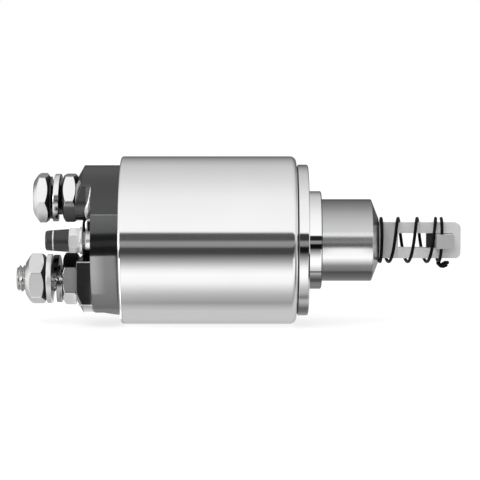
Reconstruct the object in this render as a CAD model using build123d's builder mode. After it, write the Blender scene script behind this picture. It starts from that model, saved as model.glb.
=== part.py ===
from build123d import *
import math
import os

# Starter solenoid. Millimetres. The plunger's axis is X, with the flange's mounting face at X = 0,
# the pull rod towards +X and the terminals towards -X. Z is up, and the motor terminal is the upper one.

# Clearances
running_gap = 0.06  # radial, between pieces that slide on each other
fit_gap = 0.03  # radial, between pieces that are pressed or screwed together
seat_gap = 0.1  # along the axis, between pieces stacked in the housing
side_gap = 0.15  # each side of the spring seat in the rod's slot

# Flange: ring, locating collar and hub
ring_inset = 3.1  # from the can's side in to the ring's
ring_thickness = 3.9
ring_chamfer = 0.6
collar_wall = 2.11
collar_length = 4.9
collar_chamfer = 0.6
gasket_thickness = 0.5
fixing_count = 3
fixing_hole = 5.0
fixing_land = 0.5  # metal between the hub's outline and each hole
fixing_rim_land = 2.05  # metal between each hole and the ring's chamfer
fixing_first_angle = 30

# Housing can
can_length = 65.0
can_wall = 3.2
can_front_wall = 4.0
can_front_fillet = 2.3
can_rear_chamfer = 0.9
rear_bore_depth = 10.0
rear_bore_step = 1.2
crimp_lip = 1.5

# Plunger and guide sleeve
plunger_radius = 15.25
plunger_stand_out = 26.2
plunger_cone = 2.7
plunger_nose_radius = 8.4
plunger_length = 45.0
plunger_travel = 12.0
plunger_end_gap = 0.5
spring_pocket_radius = 11.8
spring_pocket_depth = 15.5
sleeve_wall = 0.8
sleeve_front = 3.7
cross_pin_radius = 1.5
cross_pin_place = 0.5
cross_pin_setback = 0.5

# Pull rod
shank_radius = 6.0
bar_height = 13.2
bar_thickness = 6.0
bar_length = 30.6
bar_tip_radius = 2.0
slot_length = 20.4
slot_end_wall = 2.9
slot_height = 5.5
slot_corner_radius = 0.6

# Outer spring and the seat that it pushes along the slot
outer_spring_wire = 1.2
outer_spring_gap = 0.9  # from the bar's edge out to the coil
outer_spring_turns = 2.87
outer_spring_first_pitch = 0.8
outer_spring_last_pitch = 1.92
outer_spring_start = -135
seat_head_length = 6.6
seat_nose_length = 2.9
seat_nose_thickness = 4.4
seat_arm_wall = 0.75
seat_groove_depth = 3.2
seat_groove_side = 0.35

# Coil
bobbin_wall = 1.0
bobbin_flange = 1.5
bobbin_side_gap = 0.2
pull_in_depth = 4.9
hold_in_depth = 5.11
wrap_thickness = 0.5
winding_gap = 0.05

# Fixed core and core plate
core_spigot_radius = 12.0
core_pocket_depth = 4.0
core_post_radius = 8.0
core_rear_pocket_radius = 7.0
core_rear_pocket_depth = 5.0
core_plate_thickness = 4.5
cap_gasket_thickness = 1.0
cap_gasket_width = 4.55

# Return spring
return_spring_radius = 10.65
return_spring_wire = 1.7
return_spring_turns = 4.6

# Contact pin, bridge and their springs
pin_radius = 3.0
pin_front_gap = 8.6
pin_overtravel_gap = 0.1
pin_tail_radius = 2.5
pin_collar_radius = 5.6
pin_collar_thickness = 1.5
pin_tail_end = 2.6
pin_chamfer = 0.4
bridge_thickness = 2.5
bridge_width = 14.0
bridge_overhang = 4.7
bridge_corner = 3.0
contact_gap = 2.3
bush_radius = 5.8
bush_flange = 0.8
bush_neck_radius = 3.6
ring_clip_radius = 4.4
ring_clip_thickness = 0.7
ring_clip_groove = 0.5
pressure_spring_radius = 5.0
pressure_spring_wire = 1.0
pressure_spring_turns = 2.0
contact_spring_radius = 3.8
contact_spring_wire = 0.7
contact_spring_turns = 3.0

# Terminal cap
crimp_face = 3.2  # from the can's side in to the crimped lip's edge
cap_flange_gap = 0.1
cap_flange_thickness = 3.0
cap_stand_out = 10.0
cap_floor_thickness = 2.1
cap_wall = 3.95
tower_length = 6.0
upper_tower_half_width = 18.6
upper_tower_drop = 7.85  # from the motor terminal down
upper_tower_corner = 7.5
upper_tower_root = 2.0
tower_chamfer = 2.4
tower_chamfer_drop = 4.2
lower_tower_half_width = 15.6
lower_tower_rise = 7.6  # from the battery terminal up
rim_flat_depth = 1.65
rim_flat_end = 3.9
boss_radius = 7.5
boss_pocket_radius = 5.2
boss_end_room = 2.1
boss_wall = 2.0

# Large terminals, size M10
motor_edge = 12.1  # from the cap's rim in to the terminal's centre
battery_edge = 13.55
stud_radius = 5.0
stud_end_chamfer = 1.0
contact_head_thickness = 3.0
contact_head_width = 13.0
contact_head_height = 13.0
contact_head_corner = 1.5
insert_radius = 7.5
nut_across_flats = 17.0
nut_thickness = 8.0
inner_nut_thickness = 5.6
nut_edge = 0.9
lock_washer_radius = 8.9
lock_washer_width = 3.6
lock_washer_thickness = 2.2
lock_washer_height = 4.2
lock_washer_split = 12
plain_washer_radius = 9.2
plain_washer_thickness = 2.0
stud_stand_out = 3.3
bolt_head_thickness = 6.4
bolt_washer_face = 0.4
bolt_washer_face_radius = 7.9
bolt_shank_length = 16.0
battery_nut_turn = 12
inner_nut_turn = 0
bolt_head_turn = -21

# Control terminal, size M5
control_edge = 10.95
control_height = 1.0
control_stud_radius = 2.5
control_head_radius = 4.5
control_head_thickness = 1.5
control_nut_across_flats = 8.0
control_nut_thickness = 4.0
control_nut_edge = 0.4
control_washer_radius = 5.0
control_washer_thickness = 1.0
solder_radius = 3.55
solder_length = 3.3
solder_chamfer = 0.7
control_cap_length = 8.6
control_cap_open_radius = 4.2
control_cap_end_radius = 3.6
control_cap_wall_end = 1.4
control_cap_edge = 0.6
lead_radius = 0.6
lead_height = 8.6
lead_bend = 1.4
lead_stand_out = 1.9
motor_lead_y = 5.0
motor_lead_clearance = 0.4
grommet_radius = 2.0
grommet_thickness = 5.0

# Radii and heights that follow from the sizes above, from the plunger out through the coil to the can
sleeve_bore = plunger_radius + running_gap
sleeve_radius = sleeve_bore + sleeve_wall
bobbin_bore = sleeve_radius + fit_gap
bobbin_core = bobbin_bore + bobbin_wall
pull_in_inner = bobbin_core + winding_gap
pull_in_outer = pull_in_inner + pull_in_depth
hold_in_inner = pull_in_outer + winding_gap
hold_in_outer = hold_in_inner + hold_in_depth
wrap_inner = hold_in_outer + winding_gap
wrap_outer = wrap_inner + wrap_thickness
bobbin_rim = wrap_outer + winding_gap
can_bore_radius = bobbin_rim + bobbin_side_gap
can_radius = can_bore_radius + can_wall
rear_bore_radius = can_bore_radius + rear_bore_step
collar_radius = sleeve_radius + fit_gap + collar_wall
ring_radius = can_radius - ring_inset
hub_radius = ring_radius - ring_chamfer - fixing_rim_land - fixing_hole - fixing_land
fixing_circle_radius = hub_radius + fixing_land + fixing_hole / 2
cap_radius = can_radius - crimp_face - seat_gap
cap_chamber_radius = cap_radius - cap_wall
motor_height = cap_radius - motor_edge
battery_height = battery_edge - cap_radius
control_y = control_edge - cap_radius
upper_tower_bottom = motor_height - upper_tower_drop
lower_tower_top = battery_height + lower_tower_rise
lower_tower_bottom = rim_flat_depth - cap_radius
outer_spring_radius = bar_height / 2 + outer_spring_gap + outer_spring_wire / 2

# Places along the axis that follow from the sizes above
can_front = -(ring_thickness + gasket_thickness)
can_rear = can_front - can_length
can_front_inside = can_front - can_front_wall
rear_bore_face = can_rear + rear_bore_depth
core_plate_rear = rear_bore_face - core_plate_thickness
cap_front = core_plate_rear - cap_gasket_thickness
cap_flange_rear = cap_front - cap_flange_thickness
cap_flange_radius = rear_bore_radius - cap_flange_gap
cap_gasket_inner = cap_flange_radius - cap_gasket_width
cap_rear_face = can_rear - cap_stand_out
cap_floor = cap_rear_face + cap_floor_thickness
tower_face = cap_rear_face - tower_length
plunger_rear = plunger_stand_out - plunger_length
core_front = plunger_rear - plunger_travel - plunger_end_gap
bar_start = plunger_stand_out
bar_tip = bar_start + bar_length
slot_far = bar_tip - slot_end_wall
slot_near = slot_far - slot_length
pin_front = plunger_rear - pin_front_gap
pin_collar_front = core_plate_rear + core_rear_pocket_depth - seat_gap
pin_collar_rear = pin_collar_front - pin_collar_thickness
contact_face = cap_floor + contact_head_thickness
bridge_rear = contact_face + contact_gap
bridge_front = bridge_rear + bridge_thickness
bush_front = bridge_front + bush_flange
washer_rear = bridge_rear - bush_flange
clip_front = washer_rear - seat_gap
clip_rear = clip_front - ring_clip_thickness
pin_rear = clip_rear - pin_tail_end
pin_travel = plunger_travel - pin_front_gap + pin_overtravel_gap
boss_pocket_end = pin_rear - pin_travel - boss_end_room
boss_face = boss_pocket_end - boss_wall
inner_nut_rear = tower_face - inner_nut_thickness
lock_washer_rear = inner_nut_rear - lock_washer_height
plain_washer_rear = lock_washer_rear - plain_washer_thickness
battery_nut_rear = plain_washer_rear - nut_thickness
stud_end = battery_nut_rear - stud_stand_out
bolt_tip = lock_washer_rear + bolt_shank_length
solder_rear = cap_rear_face - solder_length
control_washer_rear = solder_rear - control_washer_thickness
control_nut_rear = control_washer_rear - control_nut_thickness
control_cap_rear = control_nut_rear - control_cap_length
bridge_top = motor_height + bridge_overhang
bridge_bottom = battery_height - bridge_overhang
motor_lead_height = bridge_top + motor_lead_clearance + lead_radius
lead_places = ((control_y, lead_height), (motor_lead_y, motor_lead_height))


def cross_section(x, y=0.0, z=0.0):
    """Plane across the axis at x, with its own x towards +Y and its own y towards +Z."""
    return Plane(origin=(x, y, z), x_dir=(0, 1, 0), z_dir=(1, 0, 0))


def rim_at(builder, radius):
    """Circular edges of one radius, from the rearmost to the foremost."""
    circles = builder.edges().filter_by(GeomType.CIRCLE)
    return circles.filter_by(lambda edge: abs(edge.radius - radius) < 0.001).sort_by(Axis.X)


def coil_centre_line(start_x, radius, start_angle, runs, left_hand):
    """Centre line of a coil about X: runs of (turns, pitch), each starting where the last one ended."""
    x, angle = start_x, start_angle
    with BuildLine() as path:
        for turns, pitch in runs:
            run = Helix(
                pitch,
                turns * pitch,
                radius,
                center=(x, 0, 0),
                direction=(1, 0, 0),
                lefthand=left_hand,
                mode=Mode.PRIVATE,
            )
            add(run.rotate(Axis.X, angle))
            x += turns * pitch
            angle += (-360 if left_hand else 360) * turns
    return path.line


def coil_spring(line, wire, sides=6):
    """Wire of polygonal section swept along a coil's centre line."""
    with BuildPart() as spring:
        with BuildSketch(Plane(origin=line @ 0, z_dir=line % 0)):
            RegularPolygon(wire / 2, sides)
        sweep(path=line, is_frenet=True)
    return spring


def closed_coil(front, rear, radius, wire, turns):
    """Hidden compression spring between two places on X, with a closed part turn at each end."""
    closed = 0.75
    closed_pitch = wire
    pitch = (front - rear - wire - 2 * closed * closed_pitch) / turns
    runs = ((closed, closed_pitch), (turns, pitch), (closed, closed_pitch))
    return coil_spring(coil_centre_line(rear + wire / 2, radius, 0, runs, False), wire, sides=4)


def hexagon(x_front, thickness, flats, z, y=0.0, bore=None, turn=0.0, edge=nut_edge):
    """Nut or bolt head on X that reaches back from x_front, with both ends turned down to a cone."""
    corner = flats / 2 / math.cos(math.radians(30))
    with BuildPart() as nut:
        with BuildSketch(cross_section(x_front - thickness, y, z)):
            RegularPolygon(corner, 6, rotation=90 + turn)
            if bore:
                Circle(bore, mode=Mode.SUBTRACT)
        extrude(amount=thickness)
        # The turned ends: a cone at each end meets the flats in the usual arcs.
        drop = edge * math.tan(math.radians(30))
        with BuildSketch(Plane(origin=(0, y, z), x_dir=(1, 0, 0), z_dir=(0, 0, 1))) as profile:
            with BuildLine():
                Polyline(
                    (x_front - thickness, 0),
                    (x_front - thickness, corner - edge),
                    (x_front - thickness + drop, corner),
                    (x_front - drop, corner),
                    (x_front, corner - edge),
                    (x_front, 0),
                    close=True,
                )
            make_face()
        revolve(profile.sketch, axis=Axis((0, y, z), (1, 0, 0)), mode=Mode.INTERSECT)
    return nut


def lock_washer(x_front, z):
    """Open helical spring washer: one turn of square-edged wire, with its split towards -Y."""
    mean = lock_washer_radius - lock_washer_width / 2
    rise = lock_washer_height - lock_washer_thickness
    share = 1 - lock_washer_split / 360
    with BuildPart() as washer:
        with BuildLine() as path:
            turn = Helix(
                rise / share,
                rise,
                mean,
                center=(x_front - lock_washer_height + lock_washer_thickness / 2, 0, z),
                direction=(1, 0, 0),
                lefthand=True,
                mode=Mode.PRIVATE,
            )
            add(turn.rotate(Axis((0, 0, z), (1, 0, 0)), 90 - lock_washer_split / 2))
        line = path.line
        outward = Vector(0, (line @ 0).Y, (line @ 0).Z - z)
        with BuildSketch(Plane(origin=line @ 0, x_dir=outward, z_dir=line % 0)):
            Rectangle(lock_washer_width, lock_washer_thickness)
        sweep(path=line, is_frenet=True)
    return washer


os.makedirs("parts", exist_ok=True)

# Housing can
with BuildPart() as housing_can:
    with BuildSketch(Plane.XY):
        with BuildLine():
            Polyline(
                (can_front, hub_radius + fit_gap),
                (can_front, can_radius),
                (can_rear, can_radius),
                (can_rear, cap_radius + seat_gap),
                (can_rear + crimp_lip, cap_radius + seat_gap),
                (can_rear + crimp_lip, rear_bore_radius),
                (rear_bore_face, rear_bore_radius),
                (rear_bore_face, can_bore_radius),
                (can_front_inside, can_bore_radius),
                (can_front_inside, hub_radius + fit_gap),
                close=True,
            )
        make_face()
    revolve(axis=Axis.X)
    fillet(rim_at(housing_can, can_radius)[-1], can_front_fillet)
    chamfer(rim_at(housing_can, can_radius)[0], can_rear_chamfer)
    with BuildSketch(cross_section(can_front_inside)):
        with PolarLocations(fixing_circle_radius, fixing_count, start_angle=fixing_first_angle):
            Circle(fixing_hole / 2)
    extrude(amount=can_front_wall, mode=Mode.SUBTRACT)
housing_can.part.label = "housing_can"

# Thin gasket between can and flange ring
with BuildPart() as flange_gasket:
    with BuildSketch(cross_section(can_front)):
        Circle(ring_radius - ring_chamfer)
        Circle(hub_radius + fit_gap, mode=Mode.SUBTRACT)
        with PolarLocations(fixing_circle_radius, fixing_count, start_angle=fixing_first_angle):
            Circle(fixing_hole / 2, mode=Mode.SUBTRACT)
    extrude(amount=gasket_thickness)
flange_gasket.part.label = "flange_gasket"

# Front flange: ring with tapped holes, locating collar and the hub that closes the can's opening
with BuildPart() as front_flange:
    with BuildSketch(Plane.XY):
        with BuildLine():
            Polyline(
                (can_front_inside, sleeve_radius + fit_gap),
                (can_front_inside, hub_radius),
                (-ring_thickness, hub_radius),
                (-ring_thickness, ring_radius),
                (0, ring_radius),
                (0, collar_radius),
                (collar_length, collar_radius),
                (collar_length, sleeve_radius + fit_gap),
                close=True,
            )
        make_face()
    revolve(axis=Axis.X)
    chamfer(rim_at(front_flange, ring_radius)[-1], ring_chamfer)
    chamfer(rim_at(front_flange, collar_radius)[-1], collar_chamfer)
    with BuildSketch(cross_section(-ring_thickness)):
        with PolarLocations(fixing_circle_radius, fixing_count, start_angle=fixing_first_angle):
            Circle(fixing_hole / 2)
    extrude(amount=ring_thickness, mode=Mode.SUBTRACT)
front_flange.part.label = "front_flange"

# Guide sleeve: thin liner that the plunger slides in and the fixed core stands in
with BuildPart() as guide_sleeve:
    with BuildSketch(cross_section(rear_bore_face + seat_gap)):
        Circle(sleeve_radius)
        Circle(sleeve_bore, mode=Mode.SUBTRACT)
    extrude(amount=sleeve_front - rear_bore_face - seat_gap)
guide_sleeve.part.label = "guide_sleeve"

# Coil bobbin and its windings
bobbin_front = can_front_inside - seat_gap
bobbin_rear = rear_bore_face + seat_gap
with BuildPart() as coil_bobbin:
    with BuildSketch(Plane.XY):
        with BuildLine():
            Polyline(
                (bobbin_rear, bobbin_bore),
                (bobbin_rear, bobbin_rim),
                (bobbin_rear + bobbin_flange, bobbin_rim),
                (bobbin_rear + bobbin_flange, bobbin_core),
                (bobbin_front - bobbin_flange, bobbin_core),
                (bobbin_front - bobbin_flange, bobbin_rim),
                (bobbin_front, bobbin_rim),
                (bobbin_front, bobbin_bore),
                close=True,
            )
        make_face()
    revolve(axis=Axis.X)
    # Lead wires leave the rear flange through plain holes.
    with BuildSketch(cross_section(bobbin_rear)):
        with Locations(*lead_places):
            Circle(lead_radius + fit_gap)
    extrude(amount=bobbin_flange, mode=Mode.SUBTRACT)
coil_bobbin.part.label = "coil_bobbin"

winding_rear = bobbin_rear + bobbin_flange + winding_gap
winding_front = bobbin_front - bobbin_flange - winding_gap


def winding_layer(inner, outer):
    """One layer of the coil between the bobbin's flanges."""
    with BuildPart() as wound:
        with BuildSketch(cross_section(winding_rear)):
            Circle(outer)
            Circle(inner, mode=Mode.SUBTRACT)
        extrude(amount=winding_front - winding_rear)
    return wound


# The pull-in winding lies inside; the hold-in winding fills the rest, under a paper wrap.
pull_in_winding = winding_layer(pull_in_inner, pull_in_outer)
pull_in_winding.part.label = "pull_in_winding"
hold_in_winding = winding_layer(hold_in_inner, hold_in_outer)
hold_in_winding.part.label = "hold_in_winding"
coil_wrap = winding_layer(wrap_inner, wrap_outer)
coil_wrap.part.label = "coil_wrap"

# Fixed core: pole face with a pocket for the return spring, spigot into the core plate
core_radius = sleeve_bore - fit_gap
pin_bore = pin_radius + running_gap
with BuildPart() as fixed_core:
    with BuildSketch(Plane.XY):
        with BuildLine():
            Polyline(
                (core_front, pin_bore),
                (core_front, core_post_radius),
                (core_front - core_pocket_depth, core_post_radius),
                (core_front - core_pocket_depth, spring_pocket_radius),
                (core_front, spring_pocket_radius),
                (core_front, core_radius),
                (rear_bore_face + seat_gap, core_radius),
                (rear_bore_face + seat_gap, core_spigot_radius),
                (core_plate_rear, core_spigot_radius),
                (core_plate_rear, core_rear_pocket_radius),
                (core_plate_rear + core_rear_pocket_depth, core_rear_pocket_radius),
                (core_plate_rear + core_rear_pocket_depth, pin_bore),
                close=True,
            )
        make_face()
    revolve(axis=Axis.X)
fixed_core.part.label = "fixed_core"

# Core plate: steel disc clamped in the can's rear bore, with two holes for the leads' grommets
grommet_hole = grommet_radius + fit_gap
with BuildPart() as core_plate:
    with BuildSketch(cross_section(core_plate_rear)):
        Circle(rear_bore_radius - fit_gap)
        Circle(core_spigot_radius + fit_gap, mode=Mode.SUBTRACT)
        with Locations(*lead_places):
            Circle(grommet_hole, mode=Mode.SUBTRACT)
    extrude(amount=core_plate_thickness)
core_plate.part.label = "core_plate"

with BuildPart() as lead_grommets:
    with BuildSketch(cross_section(rear_bore_face - grommet_thickness)):
        with Locations(*lead_places):
            Circle(grommet_radius)
            Circle(lead_radius + fit_gap, mode=Mode.SUBTRACT)
    extrude(amount=grommet_thickness)
lead_grommets.part.label = "lead_grommets"

with BuildPart() as cap_gasket:
    with BuildSketch(cross_section(cap_front)):
        Circle(cap_flange_radius)
        Circle(cap_gasket_inner, mode=Mode.SUBTRACT)
    extrude(amount=cap_gasket_thickness)
cap_gasket.part.label = "cap_gasket"

# Upper tower of the terminal cap: flush with the rim above, rounded below, flared where it leaves the rim
upper_tower_height = cap_radius - upper_tower_bottom + 2 * upper_tower_corner
with BuildPart() as upper_tower:
    for start, height, taper in (
        (tower_face, tower_length, 0),
        (cap_rear_face - upper_tower_root, upper_tower_root, -45),
    ):
        with BuildSketch(cross_section(start, 0, upper_tower_bottom + upper_tower_height / 2)):
            RectangleRounded(2 * upper_tower_half_width, upper_tower_height, upper_tower_corner)
        extrude(amount=height, taper=taper)
    with BuildSketch(cross_section(tower_face)):
        Circle(cap_radius)
    extrude(amount=tower_length, mode=Mode.INTERSECT)

# Terminal cap: moulded cup with a clamping flange, two towers and a central boss for the pin's end
with BuildPart() as terminal_cap:
    with BuildSketch(Plane.XY):
        with BuildLine():
            Polyline(
                (cap_front, 0),
                (cap_front, cap_flange_radius),
                (cap_flange_rear, cap_flange_radius),
                (cap_flange_rear, cap_radius),
                (cap_rear_face, cap_radius),
                (cap_rear_face, 0),
                close=True,
            )
        make_face()
    revolve(axis=Axis.X)
    add(upper_tower.part)
    # Lower tower: a block whose flat sides meet the rim's outline.
    with BuildSketch(cross_section(tower_face)):
        Circle(cap_radius)
        with Locations((0, (lower_tower_top + lower_tower_bottom) / 2)):
            Rectangle(
                2 * lower_tower_half_width, lower_tower_top - lower_tower_bottom, mode=Mode.INTERSECT
            )
    extrude(amount=tower_length)
    with BuildSketch(cross_section(boss_face)):
        Circle(boss_radius)
    extrude(amount=cap_rear_face - boss_face)
    # Both towers' outer edges are turned down to one cone.
    with BuildSketch(Plane.XY):
        with BuildLine():
            Polyline(
                (tower_face, cap_radius - tower_chamfer_drop),
                (tower_face + tower_chamfer, cap_radius),
                (tower_face + tower_chamfer, cap_radius + tower_chamfer),
                (tower_face, cap_radius + tower_chamfer),
                close=True,
            )
        make_face()
    revolve(axis=Axis.X, mode=Mode.SUBTRACT)
    # The rim's underside runs down to the lower tower's flat.
    with BuildSketch(Plane.XZ):
        with BuildLine():
            Polyline(
                (can_rear, -cap_radius),
                (cap_rear_face + rim_flat_end, lower_tower_bottom),
                (tower_face, lower_tower_bottom),
                (tower_face, -cap_radius),
                close=True,
            )
        make_face()
    extrude(amount=cap_radius, both=True, mode=Mode.SUBTRACT)
    # Contact chamber, the pin's pocket and the holes for studs and lead
    with BuildSketch(cross_section(cap_front)):
        Circle(cap_chamber_radius)
    extrude(amount=cap_floor - cap_front, mode=Mode.SUBTRACT)
    with BuildSketch(cross_section(boss_pocket_end)):
        Circle(boss_pocket_radius)
    extrude(amount=cap_floor - boss_pocket_end, mode=Mode.SUBTRACT)
    with BuildSketch(cross_section(tower_face)):
        with Locations((0, battery_height)):
            Circle(stud_radius + fit_gap)
        with Locations((0, motor_height)):
            Circle(insert_radius + fit_gap)
        with Locations((control_y, control_height)):
            Circle(control_stud_radius + fit_gap)
        with Locations((control_y, lead_height)):
            Circle(lead_radius + fit_gap)
    extrude(amount=cap_floor - tower_face, mode=Mode.SUBTRACT)
terminal_cap.part.label = "terminal_cap"

# Battery terminal: stud with a flat contact head inside the cap
with BuildPart() as battery_stud:
    with BuildSketch(cross_section(cap_floor, 0, battery_height)):
        RectangleRounded(contact_head_width, contact_head_height, contact_head_corner)
    extrude(amount=contact_head_thickness)
    with BuildSketch(cross_section(stud_end, 0, battery_height)):
        Circle(stud_radius)
    extrude(amount=cap_floor - stud_end)
    chamfer(battery_stud.faces().sort_by(Axis.X)[0].edges(), stud_end_chamfer)
battery_stud.part.label = "battery_stud"

# Motor contact: flanged insert, threaded inside for the terminal bolt
with BuildPart() as motor_contact:
    with BuildSketch(cross_section(cap_floor, 0, motor_height)):
        RectangleRounded(contact_head_width, contact_head_height, contact_head_corner)
    extrude(amount=contact_head_thickness)
    with BuildSketch(cross_section(tower_face, 0, motor_height)):
        Circle(insert_radius)
    extrude(amount=cap_floor - tower_face)
    with BuildSketch(cross_section(tower_face, 0, motor_height)):
        Circle(stud_radius + fit_gap)
    extrude(amount=bolt_tip - tower_face + seat_gap, mode=Mode.SUBTRACT)
motor_contact.part.label = "motor_contact"

bolt_head = hexagon(
    lock_washer_rear - bolt_washer_face,
    bolt_head_thickness,
    nut_across_flats,
    motor_height,
    turn=bolt_head_turn,
)
with BuildPart() as motor_bolt:
    add(bolt_head.part)
    with BuildSketch(cross_section(lock_washer_rear - bolt_washer_face, 0, motor_height)):
        Circle(bolt_washer_face_radius)
    extrude(amount=bolt_washer_face)
    with BuildSketch(cross_section(lock_washer_rear, 0, motor_height)):
        Circle(stud_radius)
    extrude(amount=bolt_shank_length)
    chamfer(motor_bolt.faces().sort_by(Axis.X)[-1].edges(), stud_end_chamfer)
motor_bolt.part.label = "motor_bolt"

# Thin nuts that clamp the two contacts in the towers, and the open spring washers on them
thread_bore = stud_radius + fit_gap
tower_heights = (motor_height, battery_height)
thin_nuts = [
    hexagon(tower_face, inner_nut_thickness, nut_across_flats, height, bore=thread_bore, turn=inner_nut_turn)
    for height in tower_heights
]
with BuildPart() as inner_nuts:
    for nut in thin_nuts:
        add(nut.part)
inner_nuts.part.label = "inner_nuts"

split_washers = [lock_washer(inner_nut_rear, height) for height in tower_heights]
with BuildPart() as lock_washers:
    for washer in split_washers:
        add(washer.part)
lock_washers.part.label = "lock_washers"

with BuildPart() as battery_washer:
    with BuildSketch(cross_section(plain_washer_rear, 0, battery_height)):
        Circle(plain_washer_radius)
        Circle(thread_bore, mode=Mode.SUBTRACT)
    extrude(amount=plain_washer_thickness)
battery_washer.part.label = "battery_washer"

battery_nut = hexagon(
    plain_washer_rear,
    nut_thickness,
    nut_across_flats,
    battery_height,
    bore=thread_bore,
    turn=battery_nut_turn,
)
battery_nut.part.label = "battery_nut"

# Control terminal
with BuildPart() as control_stud:
    with BuildSketch(cross_section(cap_floor, control_y, control_height)):
        Circle(control_head_radius)
    extrude(amount=control_head_thickness)
    with BuildSketch(cross_section(control_cap_rear + control_cap_wall_end, control_y, control_height)):
        Circle(control_stud_radius)
    extrude(amount=cap_floor - control_cap_rear - control_cap_wall_end)
control_stud.part.label = "control_stud"

# Solder joint: a squat collar with a rounded shoulder at the stud's foot
control_bore = control_stud_radius + fit_gap
control_axis = Axis((0, control_y, control_height), (1, 0, 0))
control_plane = Plane(origin=(0, control_y, control_height), x_dir=(1, 0, 0), z_dir=(0, 0, 1))
with BuildPart() as control_solder:
    with BuildSketch(control_plane) as profile:
        with BuildLine():
            Polyline(
                (solder_rear + solder_chamfer, solder_radius),
                (cap_rear_face, solder_radius),
                (cap_rear_face, control_bore),
                (solder_rear, control_bore),
                (solder_rear, solder_radius - solder_chamfer),
                close=True,
            )
        make_face()
    revolve(profile.sketch, axis=control_axis)
control_solder.part.label = "control_solder"

with BuildPart() as control_washer:
    with BuildSketch(cross_section(control_washer_rear, control_y, control_height)):
        Circle(control_washer_radius)
        Circle(control_bore, mode=Mode.SUBTRACT)
    extrude(amount=control_washer_thickness)
control_washer.part.label = "control_washer"

control_nut = hexagon(
    control_washer_rear,
    control_nut_thickness,
    control_nut_across_flats,
    control_height,
    y=control_y,
    bore=control_bore,
    edge=control_nut_edge,
)
control_nut.part.label = "control_nut"

# Protective plastic cap pushed over the small stud's end
with BuildPart() as control_cap:
    with BuildSketch(control_plane) as profile:
        bore_end = control_cap_rear + control_cap_wall_end - seat_gap
        with BuildLine():
            Polyline(
                (control_nut_rear, control_bore),
                (control_nut_rear, control_cap_open_radius),
                (control_cap_rear + control_cap_edge, control_cap_end_radius),
                (control_cap_rear, control_cap_end_radius - control_cap_edge),
                (control_cap_rear, 0),
                (bore_end, 0),
                (bore_end, control_bore),
                close=True,
            )
        make_face()
    revolve(profile.sketch, axis=control_axis)
control_cap.part.label = "control_cap"

# Lead wires: one bends down to the control terminal's solder, one runs to the motor contact
lead_turn_x = cap_rear_face - lead_stand_out
with BuildPart() as coil_leads:
    with BuildLine() as bent:
        FilletPolyline(
            (bobbin_rear, control_y, lead_height),
            (lead_turn_x, control_y, lead_height),
            (lead_turn_x, control_y, control_height + solder_radius + fit_gap),
            radius=lead_bend,
        )
    with BuildSketch(Plane(origin=bent.line @ 0, z_dir=bent.line % 0)):
        Circle(lead_radius)
    sweep(path=bent.line)
    with BuildSketch(cross_section(contact_face, motor_lead_y, motor_lead_height)):
        Circle(lead_radius)
    extrude(amount=bobbin_rear + bobbin_flange - contact_face)
coil_leads.part.label = "coil_leads"

# Plunger: front cone, through bore for the rod's shank and a pocket for the return spring
shank_bore = shank_radius + fit_gap
pocket_end = plunger_rear + spring_pocket_depth
with BuildPart() as plunger:
    with BuildSketch(Plane.XY):
        with BuildLine():
            Polyline(
                (plunger_rear, spring_pocket_radius),
                (plunger_rear, plunger_radius),
                (plunger_stand_out - plunger_cone, plunger_radius),
                (plunger_stand_out, plunger_nose_radius),
                (plunger_stand_out, shank_bore),
                (pocket_end, shank_bore),
                (pocket_end, spring_pocket_radius),
                close=True,
            )
        make_face()
    revolve(axis=Axis.X)
    with BuildSketch(Plane(origin=(cross_pin_place, 0, 0), x_dir=(1, 0, 0), z_dir=(0, 1, 0))):
        Circle(cross_pin_radius + fit_gap)
    extrude(amount=plunger_radius, both=True, mode=Mode.SUBTRACT)
plunger.part.label = "plunger"

# Pull rod: round shank through the plunger, flat bar with a slot in front of it
with BuildPart() as pull_rod:
    with BuildSketch(cross_section(plunger_rear)):
        Circle(shank_radius)
    extrude(amount=plunger_stand_out - plunger_rear)
    with BuildSketch(Plane.XZ.offset(-bar_thickness / 2)) as bar:
        with Locations((bar_start + bar_length / 2, 0)):
            Rectangle(bar_length, bar_height)
        fillet(bar.vertices().group_by(Axis.X)[-1], bar_tip_radius)
        with Locations((slot_near + slot_length / 2, 0)):
            RectangleRounded(slot_length, slot_height, slot_corner_radius, mode=Mode.SUBTRACT)
    extrude(amount=bar_thickness)
    with BuildSketch(Plane(origin=(cross_pin_place, 0, 0), x_dir=(1, 0, 0), z_dir=(0, 1, 0))):
        Circle(cross_pin_radius + fit_gap)
    extrude(amount=shank_radius, both=True, mode=Mode.SUBTRACT)
pull_rod.part.label = "pull_rod"

with BuildPart() as rod_cross_pin:
    with BuildSketch(Plane(origin=(cross_pin_place, 0, 0), x_dir=(1, 0, 0), z_dir=(0, 1, 0))):
        Circle(cross_pin_radius)
    extrude(amount=plunger_radius - cross_pin_setback, both=True)
rod_cross_pin.part.label = "rod_cross_pin"

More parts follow.
